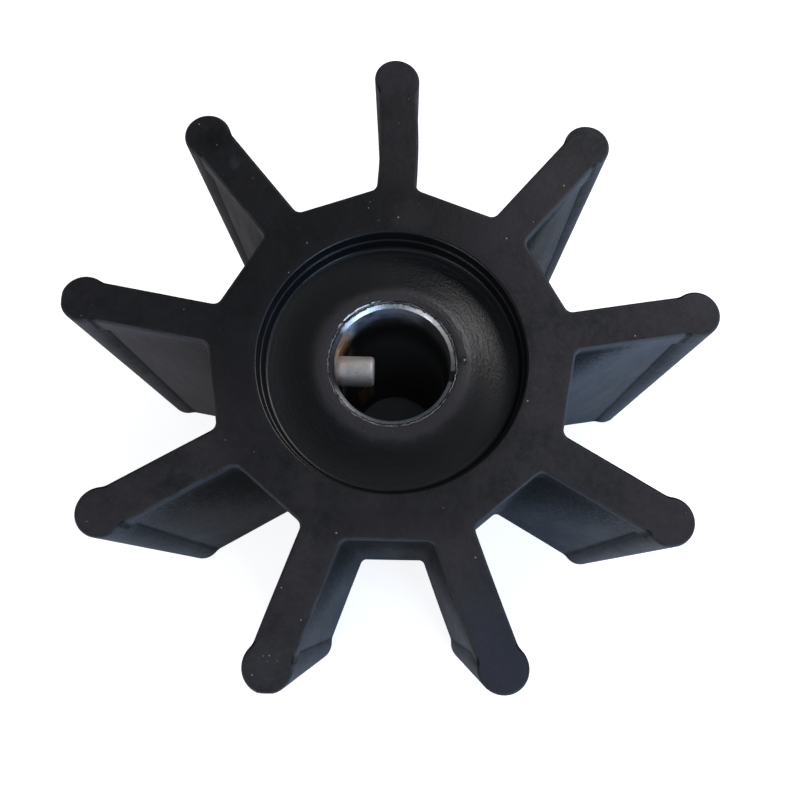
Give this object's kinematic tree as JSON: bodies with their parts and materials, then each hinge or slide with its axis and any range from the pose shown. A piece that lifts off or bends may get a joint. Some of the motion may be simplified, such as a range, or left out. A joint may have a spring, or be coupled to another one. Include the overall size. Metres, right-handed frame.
{
  "type": "rubber pump impeller",
  "caption": "Flexible rubber pump impeller with straight radial vanes that end in round beads, moulded round a metal sleeve with a cross drive pin.",
  "frame": {"origin": "on the shaft axis at mid length, on the shaft bore's axis", "axes": "+Z along the shaft axis towards the end with the drive pin; +Y along one vane; the drive pin stands in the bore's -X wall"},
  "size_m": [0.0938, 0.0925, 0.06],
  "materials": {
    "black_rubber": "moulded matte, satin in the end recesses",
    "sleeve_metal": "turned, bright at the chamfered mouths, stained inside",
    "pin_steel": "satin ground"
  },
  "bodies": {
    "root": {"rubber_impeller": "black_rubber", "hub_insert": "sleeve_metal", "drive_pin": "pin_steel"}
  },
  "joints": []
}
